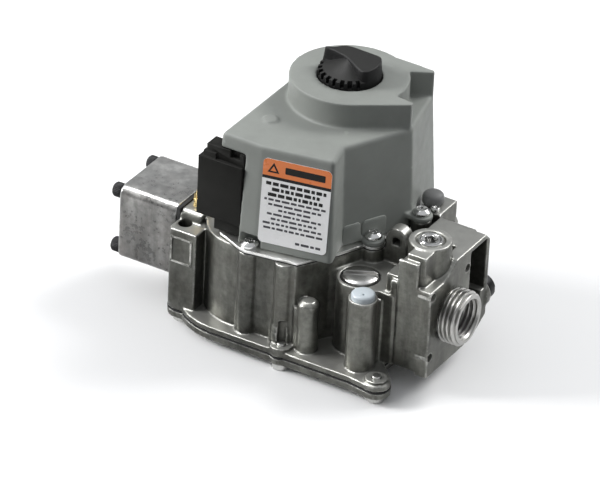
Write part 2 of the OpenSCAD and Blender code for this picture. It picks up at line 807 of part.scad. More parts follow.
module adjuster_lock_screw() {
    z = bracket_top - 0.6;
    color(steel) difference() {
        union() {
            disc(lock_screw_at, 1.7, z, z + 1.5);
            disc(lock_screw_at, 1, z - 5, z + eps);
        }
        at(lock_screw_at, z + 1.5) for (a = [0, 90])
            rotate([0, 0, a]) cube([2.2, 0.5, 1.2], center = true);
    }
}

module pilot_fitting() {
    hex_z = pad_top;
    color(brass) difference() {
        union() {
            disc(fitting_at, 2.55, hex_z - 6, hex_z);
            at(fitting_at, hex_z) cylinder(r = 4, h = 3.4, $fn = 6);
            disc(fitting_at, 2.9, hex_z + 3.4, hex_z + 5);
            at(fitting_at, hex_z + 5) cylinder(r1 = 2.9, r2 = 2, h = 2);
        }
        disc(fitting_at, 1.6, hex_z - 7, hex_z + 8);
    }
}

// ---- Cover, label and terminals ---------------------------------------------

// Corners of the cover's top outline, from the front left anticlockwise, and how far
// each wall leans out on its way down to the foot
top_line = [[-29, -29.7], [-11.5, -30], [16, -24.7], [13.2, -13.4], [26.6, 13],
            [20.9, 38.6], [-29, 39.6]];
drafts = [3.4, 3.4, 1.4, 2, 2, 2, 2.2];
cover_edge_r = 1.6;

function wall_way(i) = let (way = top_line[(i + 1) % 7] - top_line[i % 7]) way / norm(way);
function wall_normal(i) = [-wall_way(i)[1], wall_way(i)[0]];

// The corner where wall a moved in by da meets wall b moved in by db
function meet(a, da, b, db) = let (p = wall_normal(a), q = wall_normal(b))
    [da * q[1] - db * p[1], db * p[0] - da * q[0]] / (p[0] * q[1] - p[1] * q[0]);
function top_corner(i, shrink) = top_line[i] + meet((i + 6) % 7, shrink, i, shrink);
function foot_corner(i, shrink) = top_line[i]
    + meet((i + 6) % 7, shrink - drafts[(i + 6) % 7], i, shrink - drafts[i]);

// One convex piece of the cover, with its walls moved in by shrink and its top at top_z
module cover_piece(corners, shrink, foot_z, top_z) {
    pull = shrink + cover_edge_r;
    hull() for (i = corners) {
        at(top_corner(i, pull), top_z - cover_edge_r) sphere(r = cover_edge_r, $fn = 16);
        at(foot_corner(i, pull), foot_z) cylinder(r = cover_edge_r, h = 1, $fn = 16);
    }
}

module cover_solid(shrink, foot_z, top_z) {
    cover_piece([0, 1, 2, 3, 6], shrink, foot_z, top_z);
    cover_piece([3, 4, 5, 6], shrink, foot_z, top_z);
}

// The raised ring around the knob and its two wedges, in plan
module boss_outline(shrink) {
    translate(knob_at) circle(boss_r - shrink);
    polygon([[8.9 - shrink, shrink], [26 - shrink, 12 + shrink / 2], [25.6 - shrink, 14],
             [19.4 - shrink, 14.6], [10 - shrink, 17]]);
    polygon([[13 - shrink, 32.8 + shrink], [20.9 - 2 * shrink, 37.4 - shrink / 5],
             [20.4 - 2 * shrink, 38.9 - shrink * 0.8], [knob_at[0], 39.6 - shrink],
             [knob_at[0], 30]]);
}

module cover() {
    block_cut = [[-33, -18.1], [-36, -23.7], [cover_z - 1, 79.3]];
    skin = cover_wall - 0.3;
    color(grey_cover) difference() {
        union() {
            difference() {
                union() {
                    cover_solid(0, cover_z, cover_top);
                    slab(cover_top - 3, boss_top) boss_outline(0);
                }
                difference() {
                    union() {
                        cover_solid(cover_wall, cover_z - 1, cover_top - cover_wall);
                        slab(cover_top - 3, boss_top - cover_wall) boss_outline(cover_wall);
                    }
                    block([-36, block_cut[0][1] + skin], [-40, block_cut[1][1] + skin],
                          [cover_z - 2, block_cut[2][1] + skin]);
                    disc(post_a, 4.6 + skin, cover_z - 2, 53.4);
                    disc(post_c, 4.2 + skin, cover_z - 2, 50.4);
                    disc(post_b, ear_b + 0.3 + skin, cover_z - 2, bracket_top - 2 + skin);
                    block([post_a[0] - 2, post_a[0] + 8], [post_a[1] - 8, post_a[1] + 4],
                          [cover_z - 2, cover_z - 1]);
                }
            }
            disc(post_a, ear_a, cover_z, foot_top);
            disc(post_b, ear_b, bracket_top - 2, bracket_top);
            block([23.8, 30.5], [9.5, 16.6], [bracket_top - 2, bracket_top]);
            disc(post_e, 4.2, cover_z, foot_top);
            block([-35, -29.6], [24, 32], [cover_z, foot_top]);
            disc([-19.1, -11.8], 2.75, cover_top - 1, cover_top + 0.8);
        }
        block(block_cut[0], block_cut[1], block_cut[2]);
        disc(post_b, ear_b + 0.3, cover_z - 1, bracket_top - 2);
        disc(post_a, 4.6, foot_top, 51.6);
        disc(post_a, 1.9, cover_z - 1, foot_top + 1);
        disc(post_c, 4.2, cover_z - 1, 48.6);
        disc(post_b, 1.9, bracket_top - 3, bracket_top + 1);
        disc(post_e, 1.9, cover_z - 1, foot_top + 1);
        disc(knob_at, knob_d / 2 + 0.35, boss_top - 4, boss_top + 1);
        at(foot_corner(3, 0)) rotate([0, 0, atan2(wall_way(3)[1], wall_way(3)[0])])
            block([0.2, 7.4], [-3, 0.9], [cover_z + 1.6, 51]);
    }
}

module cover_screw(p, seat, length) {
    head_r = 3.3;
    color(steel) difference() {
        union() {
            disc(p, 1.6, seat - length, seat + eps);
            disc(p, head_r, seat, seat + 1.2);
            at(p, seat + 1.2) cylinder(r1 = head_r, r2 = 2.1, h = 1.1);
        }
        at(p, seat + 2.3) for (a = [20, 110])
            rotate([0, 0, a]) cube([3.8, 0.8, 2], center = true);
    }
}

module cover_screws() {
    cover_screw(post_a, foot_top, 12);
    cover_screw(post_b, bracket_top, 12);
    cover_screw(post_c, cover_z, 10);
    cover_screw(post_e, foot_top, 12);
}

module terminal_block() {
    x = [-37, -18.4];
    y = [-32, -24];
    z = [49.5, 74];
    color(black) difference() {
        union() {
            block(x, y, z);
            block([-34.5, x[1]], [-30.4, y[1]], [73, 79]);
            block([-35.4, -30], [-31.2, -26], [73, 76.4]);
            block([-30.5, x[1]], [-30, y[1]], [cover_z, 50]);
        }
        block([x[0] - 1, -27], [-30.6, -25.4], [51.6, 72]);
        block([-24.4, -20.4], [-31, -28.6], [76.2, 80]);
    }
}

module terminal_blades() {
    color(brass) for (z = [55, 61.8, 68.6])
        block([-31.6, -27], [-28.4, -27.6], [z - 2, z + 2]);
}

module label() {
    lean = atan(drafts[1] / (cover_top - cover_edge_r - cover_z - 1));
    turn = atan2(wall_way(1)[1], wall_way(1)[0]);
    width = 26.4;
    height = 33.8;
    drop = 2.4;
    color([0.92, 0.92, 0.92])
        at(top_line[1], cover_top - cover_edge_r) rotate([0, 0, turn]) rotate([-lean, 0, 0])
            translate([0.9, -0.2, -height - drop]) cube([width, 0.2, height]);
}

valve_body();
bottom_cover();
base_screws();
main_diaphragm();
diaphragm_plate();
valve_stem();
main_valve_disc();
main_valve_spring();
deck_gasket();
steel_plate();
inlet_block();
inlet_gasket();
inlet_screws();
inlet_screen();
safety_plunger();
safety_seal();
safety_spring();
safety_core_tube();
safety_coil();
safety_yoke();
servo_plunger();
servo_seal();
servo_spring();
servo_core_tube();
servo_coil();
servo_yoke();
knob();
knob_shaft();
shaft_o_ring();
shutoff_disc();
shutoff_spring();
switch_cam();
switch_body();
switch_plunger();
regulator_cap();
regulator_cap_seal();
adjusting_screw();
spring_seat();
regulator_spring();
regulator_diaphragm();
vent_plug();
tap_plug();
rear_plug();
grey_cap();
cover();
cover_screws();
adjuster_lock_screw();
terminal_block();
terminal_blades();
pilot_fitting();
label();
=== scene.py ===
"""A combination gas valve: castings, cover, label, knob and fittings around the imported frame."""

import bmesh
import bpy
import json
import math
import random
import numpy as np
from mathutils import Matrix, Vector


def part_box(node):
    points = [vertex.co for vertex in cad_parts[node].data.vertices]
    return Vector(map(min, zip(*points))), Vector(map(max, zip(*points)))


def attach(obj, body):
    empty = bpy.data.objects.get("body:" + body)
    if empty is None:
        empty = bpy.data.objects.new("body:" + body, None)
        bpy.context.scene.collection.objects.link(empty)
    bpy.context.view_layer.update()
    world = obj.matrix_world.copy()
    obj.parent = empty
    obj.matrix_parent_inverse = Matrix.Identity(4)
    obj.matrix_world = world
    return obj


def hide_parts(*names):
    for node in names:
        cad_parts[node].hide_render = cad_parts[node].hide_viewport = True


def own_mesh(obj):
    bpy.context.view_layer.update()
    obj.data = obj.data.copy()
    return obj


MM = 0.001
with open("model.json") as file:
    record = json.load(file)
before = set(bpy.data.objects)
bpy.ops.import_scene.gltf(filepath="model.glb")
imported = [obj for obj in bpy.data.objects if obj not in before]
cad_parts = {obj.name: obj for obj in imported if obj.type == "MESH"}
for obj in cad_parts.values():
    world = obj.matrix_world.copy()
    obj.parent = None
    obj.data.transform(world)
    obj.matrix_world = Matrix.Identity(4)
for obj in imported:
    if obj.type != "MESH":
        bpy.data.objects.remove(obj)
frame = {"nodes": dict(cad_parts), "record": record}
NODES = frame["nodes"]
SLOT_OF = {s["node"]: s["material_slot"] for s in frame["record"]["subparts"]}
BODY_OF = {
    n: b for b, members in frame["record"]["behaviour"]["bodies"].items() for n in members
}
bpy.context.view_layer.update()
dice = random.Random(11)


# ---- Materials --------------------------------------------------------------


class Paint:
    """A procedural material: one Principled shader fed by noise in the object's own space."""

    def __init__(self, name, metallic=0.0, rough=0.5, coat=0.0, specular=0.5):
        self.mat = bpy.data.materials.new(name)
        self.mat.use_nodes = True
        tree = self.mat.node_tree
        self.nodes, self.links = tree.nodes, tree.links
        self.shader = self.nodes["Principled BSDF"]
        self.shader.inputs["Metallic"].default_value = metallic
        self.shader.inputs["Roughness"].default_value = rough
        self.shader.inputs["Coat Weight"].default_value = coat
        self.shader.inputs["Specular IOR Level"].default_value = specular
        self.coords = self.nodes.new("ShaderNodeTexCoord").outputs["Object"]
        self.bump_end = None

    def noise(self, scale, detail=3.0, rough=0.55, stretch=None):
        node = self.nodes.new("ShaderNodeTexNoise")
        node.inputs["Scale"].default_value = scale
        node.inputs["Detail"].default_value = detail
        node.inputs["Roughness"].default_value = rough
        place = self.coords
        if stretch:
            mapping = self.nodes.new("ShaderNodeMapping")
            mapping.inputs["Scale"].default_value = stretch
            self.links.new(self.coords, mapping.inputs["Vector"])
            place = mapping.outputs["Vector"]
        self.links.new(place, node.inputs["Vector"])
        return node.outputs["Fac"]

    def ramp(self, value, stops):
        node = self.nodes.new("ShaderNodeValToRGB")
        band = node.color_ramp
        while len(band.elements) < len(stops):
            band.elements.new(0.5)
        for element, (at, tone) in zip(band.elements, stops):
            element.position = at
            rgb = tone if isinstance(tone, (tuple, list)) else (tone, tone, tone)
            element.color = (*rgb, 1.0)
        self.links.new(value, node.inputs["Fac"])
        return node.outputs["Color"]

    def mix(self, factor, a, b, mode="MIX"):
        node = self.nodes.new("ShaderNodeMix")
        node.data_type = "RGBA"
        node.blend_type = mode
        for value, socket in ((factor, node.inputs[0]), (a, node.inputs[6]), (b, node.inputs[7])):
            if hasattr(value, "is_linked"):
                self.links.new(value, socket)
            elif isinstance(value, (tuple, list)):
                socket.default_value = (*value, 1.0)
            else:
                socket.default_value = value
        return node.outputs[2]

    def edges(self, low, high):
        """White where the surface is convex, black where it is hollow."""
        geometry = self.nodes.new("ShaderNodeNewGeometry")
        return self.ramp(geometry.outputs["Pointiness"], [(low, 0.0), (high, 1.0)])

    def up(self, low, high):
        """White on faces that look up, black on the others."""
        geometry = self.nodes.new("ShaderNodeNewGeometry")
        split = self.nodes.new("ShaderNodeSeparateXYZ")
        self.links.new(geometry.outputs["Normal"], split.inputs[0])
        return self.ramp(split.outputs["Z"], [(low, 0.0), (high, 1.0)])

    def colour(self, value):
        self.links.new(value, self.shader.inputs["Base Color"])

    def roughness(self, value, low, high):
        spread = self.ramp(value, [(0.3, low), (0.7, high)])
        self.links.new(spread, self.shader.inputs["Roughness"])

    def bump(self, height, depth, strength=1.0):
        """Adds a bump of that depth in metres to those already there."""
        node = self.nodes.new("ShaderNodeBump")
        node.inputs["Strength"].default_value = strength
        node.inputs["Distance"].default_value = depth
        self.links.new(height, node.inputs["Height"])
        if self.bump_end is not None:
            self.links.new(self.bump_end, node.inputs["Normal"])
        self.bump_end = node.outputs["Normal"]
        self.links.new(self.bump_end, self.shader.inputs["Normal"])


def cast_metal(name, dark, light, stain, painted_light_and_wear_tone, rough, grain, metallic, top, stained, streaks):
    """Die-cast aluminium: mottled skin, stains, upright streaks, painted shade in the hollows, worn edges
    with a painted highlight, and painted light on the upper faces.

    dark and light are the skin's two tones; the light tone that follows stain is painted on the upper faces
    as painted light from above and on the worn edges as their painted highlight. top, stained and streaks
    say how strongly the painted light on the upper faces, the stains and the streaks show.
    """
    # near-black tone for the painted shade in the hollows
    hollow_shade = (0.012, 0.011, 0.009)
    p = Paint(name, metallic=metallic, rough=rough)
    broad = p.noise(55, 5, 0.6)
    fine = p.noise(420, 4, 0.65)
    tone = p.ramp(p.mix(0.45, broad, fine), [(0.36, dark), (0.64, light)])
    stains = p.ramp(p.noise(90, 6, 0.7), [(0.42, 0.0), (0.72, stained)])
    tone = p.mix(stains, tone, stain)
    flow = p.ramp(p.noise(34, 4, 0.6, (1, 1, 0.3)), [(0.38, 0.68), (0.62, 1.14)])
    tone = p.mix(1.0, tone, flow, "MULTIPLY")
    scuffs = p.ramp(p.noise(150, 5, 0.65, (1, 1, 0.12)), [(0.36, 0.5), (0.66, 1.5)])
    tone = p.mix(streaks, tone, p.mix(1.0, tone, scuffs, "MULTIPLY"))
    # painted light: faces that look up are mixed toward the lighter tone, as if lit from above; top sets how
    # far
    tone = p.mix(p.ramp(p.up(0.6, 0.95), [(0.0, 0.0), (1.0, top)]), tone, painted_light_and_wear_tone)
    # worn edges with a painted highlight: convex edges are lightened in patches toward the same lighter tone
    patchy = p.ramp(p.noise(330, 4, 0.7), [(0.4, 0.15), (0.6, 1.0)])
    tone = p.mix(p.mix(1.0, p.edges(0.512, 0.56), patchy, "MULTIPLY"), tone, painted_light_and_wear_tone)
    # painted shade: hollows are darkened toward the near-black tone
    tone = p.mix(p.edges(0.42, 0.495), p.mix(0.7, tone, hollow_shade), tone)
    p.colour(tone)
    p.roughness(p.mix(0.5, fine, broad), rough - 0.1, rough + 0.14)
    p.bump(p.noise(130, 4, 0.6), 0.16 * MM, 0.5)
    p.bump(p.noise(900, 4, 0.7), grain, 0.8)
    return p.mat


def machined(name, tone, rough, spread=0.05, scratch=(30, 900, 900), metallic=1.0):
    """Bright turned or rolled metal with fine scratches, a slight tarnish, and painted shade in its hollows
    and grooves.
    """
    p = Paint(name, metallic=metallic, rough=rough)
    lines = p.noise(8, 4, 0.6, scratch)
    dull = p.noise(160, 4, 0.6)
    low = tuple(c * 0.78 for c in tone)
    groove_shade = tuple(c * 0.25 for c in tone)
    skin = p.ramp(dull, [(0.35, low), (0.65, tone)])
    # painted shade: hollows and grooves are darkened to a quarter of the tone
    p.colour(p.mix(p.edges(0.44, 0.5), groove_shade, skin))
    p.roughness(p.mix(0.5, lines, dull), max(rough - spread, 0.05), rough + spread)
    p.bump(lines, 0.012 * MM, 0.6)
    p.bump(p.noise(1400, 3), 0.01 * MM, 0.5)
    return p.mat


def moulded(name, tone, rough, grain=0.02, coat=0.0, edge_wear_and_highlight=1.35, specular=0.5, dust=None):
    """Moulded plastic or paint: fine grain, soft tone changes, worn edges with a painted highlight, and,
    where an upper tone is given, painted light on its upper faces.
    """
    p = Paint(name, rough=rough, coat=coat, specular=specular)
    soft = p.noise(70, 4, 0.6)
    low = tuple(c * 0.9 for c in tone)
    body = p.ramp(soft, [(0.35, low), (0.65, tone)])
    # painted light: where an upper tone is given, faces that look up are mixed toward it, as if lit from
    # above
    if dust:
        body = p.mix(p.up(0.45, 0.95), body, dust)
    # worn edges with a painted highlight: convex edges are lightened by this factor
    worn_and_lit_tone = tuple(min(c * edge_wear_and_highlight + 0.01, 1.0) for c in tone)
    p.colour(p.mix(p.edges(0.52, 0.6), body, worn_and_lit_tone))
    p.roughness(p.noise(240, 3), rough - 0.06, rough + 0.08)
    p.bump(p.noise(2200, 3, 0.6), grain * MM, 0.7)
    return p.mat


def soft_rubber(name, tone):
    """Matt rubber or gasket board with a little dust."""
    p = Paint(name, rough=0.7, specular=0.3)
    dust = p.noise(500, 4, 0.7)
    p.colour(p.ramp(dust, [(0.35, tone), (0.75, tuple(c * 1.8 + 0.01 for c in tone))]))
    p.roughness(dust, 0.6, 0.85)
    p.bump(p.noise(1600, 3), 0.02 * MM, 0.6)
    return p.mat


def winding(name):
    """A coil's copper wire, turn above turn."""
    p = Paint(name, metallic=0.9, rough=0.35)
    turns = p.noise(6, 2, 0.5, (20, 20, 600))
    p.colour(p.ramp(turns, [(0.35, (0.35, 0.13, 0.05)), (0.65, (0.85, 0.42, 0.2))]))
    p.bump(turns, 0.06 * MM, 0.8)
    return p.mat


LOOKS = {
    # Both castings: painted light on their upper faces, worn edges with a painted highlight, and painted
    # shade in their hollows.
    "cast_body": cast_metal("cast_body", dark=(0.083, 0.085, 0.075), light=(0.2, 0.202, 0.181),
                            stain=(0.073, 0.067, 0.056), painted_light_and_wear_tone=(0.55, 0.55, 0.52), rough=0.35,
                            grain=0.04 * MM, metallic=0.7, top=0.65, stained=0.6, streaks=0.45),
    "cast_bright": cast_metal("cast_bright", dark=(0.13, 0.13, 0.126), light=(0.38, 0.375, 0.36),
                              stain=(0.15, 0.13, 0.12), painted_light_and_wear_tone=(0.75, 0.76, 0.75), rough=0.3,
                              grain=0.03 * MM, metallic=0.7, top=0.25, stained=0.55, streaks=0.7),
    "zinc_steel": machined("zinc_steel", (0.74, 0.74, 0.72), 0.3),
    "bright_steel": machined("bright_steel", (0.84, 0.84, 0.83), 0.2),
    "black_oxide": machined("black_oxide", (0.02, 0.02, 0.021), 0.42, metallic=0.85),
    "spring_steel": machined("spring_steel", (0.55, 0.55, 0.54), 0.32),
    "black_rubber": soft_rubber("black_rubber", (0.02, 0.02, 0.02)),
    "fibre_gasket": soft_rubber("fibre_gasket", (0.03, 0.03, 0.028)),
    "cover_paint": moulded("cover_paint", (0.265, 0.278, 0.26), 0.5, grain=0.03, edge_wear_and_highlight=1.12,
                           specular=0.25),
    # The knob's upper faces are mixed toward its last tone, as painted light from above.
    "knob_plastic": moulded("knob_plastic", (0.007, 0.007, 0.007), 0.48, grain=0.03, edge_wear_and_highlight=1.0,
                            specular=0.18, dust=(0.024, 0.024, 0.023)),
    "terminal_plastic": moulded("terminal_plastic", (0.006, 0.006, 0.005), 0.55, grain=0.01,
                                edge_wear_and_highlight=1.6, specular=0.1),
    "switch_plastic": moulded("switch_plastic", (0.05, 0.05, 0.06), 0.45),
    "cam_plastic": moulded("cam_plastic", (0.72, 0.7, 0.64), 0.5),
    "button_red": moulded("button_red", (0.5, 0.05, 0.03), 0.4),
    "copper_winding": winding("copper_winding"),
    "brass_fitting": machined("brass_fitting", (0.78, 0.6, 0.28), 0.28),
    "vent_plastic": moulded("vent_plastic", (0.6, 0.66, 0.7), 0.38, coat=0.2),
    "screw_plastic": moulded("screw_plastic", (0.75, 0.75, 0.7), 0.45),
    "membrane_rubber": soft_rubber("membrane_rubber", (0.16, 0.04, 0.03)),
    "grey_plastic": moulded("grey_plastic", (0.17, 0.172, 0.17), 0.5, specular=0.3),
    "cap_alloy": machined("cap_alloy", (0.7, 0.695, 0.68), 0.3, scratch=(500, 500, 40)),
    "thread_alloy": machined("thread_alloy", (0.5, 0.495, 0.475), 0.36, spread=0.09,
                             scratch=(60, 500, 500)),
    "label_film": moulded("label_film", (0.86, 0.86, 0.85), 0.3, grain=0.006, coat=0.3),
}

for node, obj in NODES.items():
    obj.data.materials.clear()
    obj.data.materials.append(LOOKS[SLOT_OF[node]])


# ---- Mesh helpers -----------------------------------------------------------


def place(name, mesh, body, material_slot):
    """Puts a new piece into the scene, on a body of the frame and with a slot's material."""
    obj = bpy.data.objects.new(name, mesh)
    bpy.context.scene.collection.objects.link(obj)
    mesh.materials.clear()
    mesh.materials.append(LOOKS[material_slot])
    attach(obj, body)
    return obj


def mesh_from(name, verts, faces, smooth=True):
    """A mesh of these corners and faces."""
    mesh = bpy.data.meshes.new(name)
    mesh.from_pydata([tuple(v) for v in verts], [], faces)
    mesh.validate()
    mesh.polygons.foreach_set("use_smooth", [smooth] * len(mesh.polygons))
    return mesh


def baked(obj):
    """The object's mesh with its modifiers applied."""
    deps = bpy.context.evaluated_depsgraph_get()
    mesh = bpy.data.meshes.new_from_object(obj.evaluated_get(deps))
    bpy.data.objects.remove(obj)
    return mesh


def scratch_object(mesh):
    """A passing object to hang modifiers on."""
    obj = bpy.data.objects.new("scratch", mesh)
    bpy.context.scene.collection.objects.link(obj)
    return obj


def merged_copy(node, flat_degrees=None):
    """A copy of a CAD node's mesh with its corners joined, and flat faces made one face."""
    mesh = NODES[node].data.copy()
    work = bmesh.new()
    work.from_mesh(mesh)
    bmesh.ops.remove_doubles(work, verts=work.verts, dist=1e-6)
    if flat_degrees:
        bmesh.ops.dissolve_limit(work, angle_limit=math.radians(flat_degrees),
                                 verts=work.verts, edges=work.edges)
    work.to_mesh(mesh)
    work.free()
    return mesh


def cast_copy(node, voxel, passes, share, waviness=0.0):
    """The node's shape as a casting: its edges are rounded off and its skin is slightly uneven.

    voxel sets how fine the copy is, passes how round its edges get, share how many faces are kept.
    """
    obj = scratch_object(merged_copy(node))
    remesh = obj.modifiers.new("remesh", "REMESH")
    remesh.mode = "VOXEL"
    remesh.voxel_size = voxel
    soften = obj.modifiers.new("soften", "SMOOTH")
    soften.factor = 0.5
    soften.iterations = passes
    if waviness:
        waves = bpy.data.textures.new("waves", "CLOUDS")
        waves.noise_scale = 3.5 * MM
        uneven = obj.modifiers.new("uneven", "DISPLACE")
        uneven.texture = waves
        uneven.strength = waviness
        uneven.mid_level = 1.0
    thin = obj.modifiers.new("thin", "DECIMATE")
    thin.ratio = share
    mesh = baked(obj)
    mesh.polygons.foreach_set("use_smooth", [True] * len(mesh.polygons))
    return mesh


def move_verts(mesh, change):
    """Applies change(points) to the mesh, points being an array of places."""
    points = np.empty(len(mesh.vertices) * 3)
    mesh.vertices.foreach_get("co", points)
    points = points.reshape(-1, 3)
    change(points)
    mesh.vertices.foreach_set("co", points.ravel())
    mesh.update()


def spun(name, rows, count, origin, axis):
    """A solid of revolution: rows are (distance along the axis, radius or a function of the angle)."""
    axis = Vector(axis).normalized()
    side = axis.orthogonal().normalized()
    other = axis.cross(side)
    verts, faces = [], []
    for along, radius in rows:
        for k in range(count):
            a = 2 * math.pi * k / count
            r = radius(a) if callable(radius) else radius
            verts.append(Vector(origin) + axis * along
                         + (side * math.cos(a) + other * math.sin(a)) * r)
    for i in range(len(rows) - 1):
        for k in range(count):
            m = (k + 1) % count
            faces.append((i * count + k, i * count + m, (i + 1) * count + m, (i + 1) * count + k))
    mesh = mesh_from(name, verts, faces)
    work = bmesh.new()
    work.from_mesh(mesh)
    bmesh.ops.remove_doubles(work, verts=work.verts, dist=1e-7)
    bmesh.ops.holes_fill(work, edges=[e for e in work.edges if e.is_boundary], sides=0)
    bmesh.ops.recalc_face_normals(work, faces=work.faces)
    work.to_mesh(mesh)
    work.free()
    mesh.polygons.foreach_set("use_smooth", [True] * len(mesh.polygons))
    mesh.set_sharp_from_angle(angle=math.radians(38))
    return mesh


def hexagon(corner_r):
    """Radius of a hexagon with that corner radius, as a function of the angle."""
    def radius(a):
        part = a % (math.pi / 3) - math.pi / 6
        return corner_r * math.cos(math.pi / 6) / math.cos(part)
    return radius


def bevelled_copy(node, width):
    """The node's shape with a small round along each sharp edge."""
    obj = scratch_object(merged_copy(node, 0.6))
    bevel = obj.modifiers.new("bevel", "BEVEL")
    bevel.width = width
    bevel.segments = 3
    bevel.limit_method = "ANGLE"
    bevel.angle_limit = math.radians(35)
    bevel.harden_normals = False
    mesh = baked(obj)
    mesh.polygons.foreach_set("use_smooth", [True] * len(mesh.polygons))
    mesh.set_sharp_from_angle(angle=math.radians(40))
    return mesh


def stand_for(node, mesh):
    """Shows the mesh in place of the CAD node."""
    obj = place(node + "_skin", mesh, BODY_OF[node], SLOT_OF[node])
    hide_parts(node)
    return obj


# ---- Castings, cover and blocks ---------------------------------------------

MOUNTS = {m["name"]: m for m in frame["record"]["mounts"]}
outlet = MOUNTS["outlet_thread"]
OUTLET = Vector(outlet["pos_m"])
OUTLET_LENGTH = outlet["dims"]["length_mm"] * MM
OUTLET_FACE = OUTLET.x - OUTLET_LENGTH / 2
OUTLET_END = OUTLET.x + OUTLET_LENGTH / 2
OUTLET_R = outlet["dims"]["r_mm"] * MM
BORE_R = MOUNTS["outlet_bore"]["dims"]["r_mm"] * MM
THREAD_DEPTH = 1.16 * MM
BORE_THREAD_DEPTH = 0.8 * MM
PITCH = 25.4 * MM / 14  # 14 threads an inch


def room_for_thread(points):
    """Draws the plain nozzle in, so that the threaded sleeve goes over and into it."""
    y, z = points[:, 1] - OUTLET.y, points[:, 2] - OUTLET.z
    r = np.hypot(y, z)
    near = (points[:, 0] > OUTLET_FACE + 0.15 * MM) & (r < OUTLET_R + 0.6 * MM)
    goal = np.clip(r, BORE_R + 0.5 * MM, OUTLET_R - THREAD_DEPTH - 0.3 * MM)
    ratio = np.where(near, goal / np.maximum(r, 1e-6), 1.0)
    points[:, 1] = OUTLET.y + y * ratio
    points[:, 2] = OUTLET.z + z * ratio
    points[:, 0] = np.where(near, np.minimum(points[:, 0], OUTLET_END - 0.5 * MM), points[:, 0])


def thread_wave(x, angle):
    """Height of the thread's profile, from 0 at its root to 1 at its crest."""
    phase = (x / PITCH - angle / (2 * math.pi)) % 1.0
    return min(max(1.5 - 3.6 * abs(phase - 0.5), 0.0), 1.0)


def threaded_sleeve():
    """The outlet nozzle's skin, one closed ring: its outside thread, end face and inside thread."""
    count, steps = 120, 76
    start, end = OUTLET_FACE - 0.8 * MM, OUTLET_END
    angles = [2 * math.pi * k / count for k in range(count)]
    verts, faces = [], []
    rings = []
    for i in range(steps + 1):
        x = start + (end - start) * i / steps
        run_out = min(1.0, (end - x) / (1.3 * MM) + 0.12)
        run_in = min(1.0, max(x - OUTLET_FACE - 0.4 * MM, 0) / (0.9 * MM))
        lead = run_out * run_in
        rings.append([(x, OUTLET_R - THREAD_DEPTH + THREAD_DEPTH * lead * thread_wave(x, a))
                      for a in angles])
    rings.append([(end, BORE_R + 0.45 * MM) for a in angles])
    for i in range(steps + 1):
        x = end - (end - start) * i / steps
        lead = min(1.0, (end - x) / (1.6 * MM))
        rings.append([(x, BORE_R + 0.15 * MM - BORE_THREAD_DEPTH * lead * thread_wave(x, a))
                      for a in angles])
    for ring in rings:
        for a, (x, r) in zip(angles, ring):
            verts.append((x, OUTLET.y + r * math.cos(a), OUTLET.z + r * math.sin(a)))
    for i in range(len(rings)):
        nxt = (i + 1) % len(rings)
        for k in range(count):
            m = (k + 1) % count
            faces.append((i * count + k, i * count + m, nxt * count + m, nxt * count + k))
    mesh = mesh_from("outlet_thread", verts, faces)
    mesh.set_sharp_from_angle(angle=math.radians(50))
    obj = place("outlet_thread", mesh, "valve", "cap_alloy")
    mesh.materials[0] = LOOKS["thread_alloy"]
    return obj


VOXEL = 0.42 * MM
EDGE_WIDTHS_MM = {
    "terminal_block": 0.3, "regulator_cap": 0.22, "cover_screws": 0.16, "base_screws": 0.2,
    "adjuster_lock_screw": 0.12, "steel_plate": 0.12, "rear_plug": 0.3, "pilot_fitting": 0.15,
    "vent_plug": 0.18, "inlet_gasket": 0.2, "switch_body": 0.3, "adjusting_screw": 0.15,
    "terminal_blades": 0.12,
}

casting = cast_copy("valve_body", VOXEL, passes=5, share=0.3, waviness=0.12 * MM)
move_verts(casting, room_for_thread)
stand_for("valve_body", casting)
threaded_sleeve()
stand_for("bottom_cover", cast_copy("bottom_cover", VOXEL, passes=3, share=0.3, waviness=0.1 * MM))
stand_for("inlet_block", cast_copy("inlet_block", VOXEL, passes=4, share=0.35, waviness=0.12 * MM))
stand_for("cover", cast_copy("cover", VOXEL, passes=10, share=0.3))
for node, width in EDGE_WIDTHS_MM.items():
    stand_for(node, bevelled_copy(node, width * MM))


def panel(name, outline, origin, along, rise, depth, edge, body, material_slot):
    """A thin convex plate with a softened front edge. Its outline lies in the plane of along and rise."""
    along, rise = Vector(along).normalized(), Vector(rise).normalized()
    out = along.cross(rise)
    points = [Vector(q) for q in outline]
    centre = sum(points, Vector((0, 0))) / len(points)
    rings = ((0.0, -depth), (0.0, -edge), (0.3 * edge, -0.3 * edge), (edge, 0.0))
    verts, n = [], len(points)
    for inset, height in rings:
        for q in points:
            flat = q + (centre - q).normalized() * inset
            verts.append(Vector(origin) + along * flat.x + rise * flat.y + out * height)
    faces = [tuple(reversed(range(n))), tuple((len(rings) - 1) * n + k for k in range(n))]
    for i in range(len(rings) - 1):
        faces += [(i * n + k, i * n + (k + 1) % n, (i + 1) * n + (k + 1) % n, (i + 1) * n + k)
                  for k in range(n)]
    mesh = mesh_from(name, verts, faces)
    mesh.set_sharp_from_angle(angle=math.radians(50))
    return place(name, mesh, body, material_slot)


def arched_outline(x0, x1, height, round_r, steps=6):
    """A rectangle on the ground line whose two top corners are rounded."""
    points = [(x0, 0.0), (x1, 0.0)]
    for centre_x, start in ((x1 - round_r, 0.0), (x0 + round_r, math.pi / 2)):
        for i in range(steps + 1):
            a = start + math.pi / 2 * i / steps
            points.append((centre_x + round_r * math.cos(a), height - round_r + round_r * math.sin(a)))
    return points


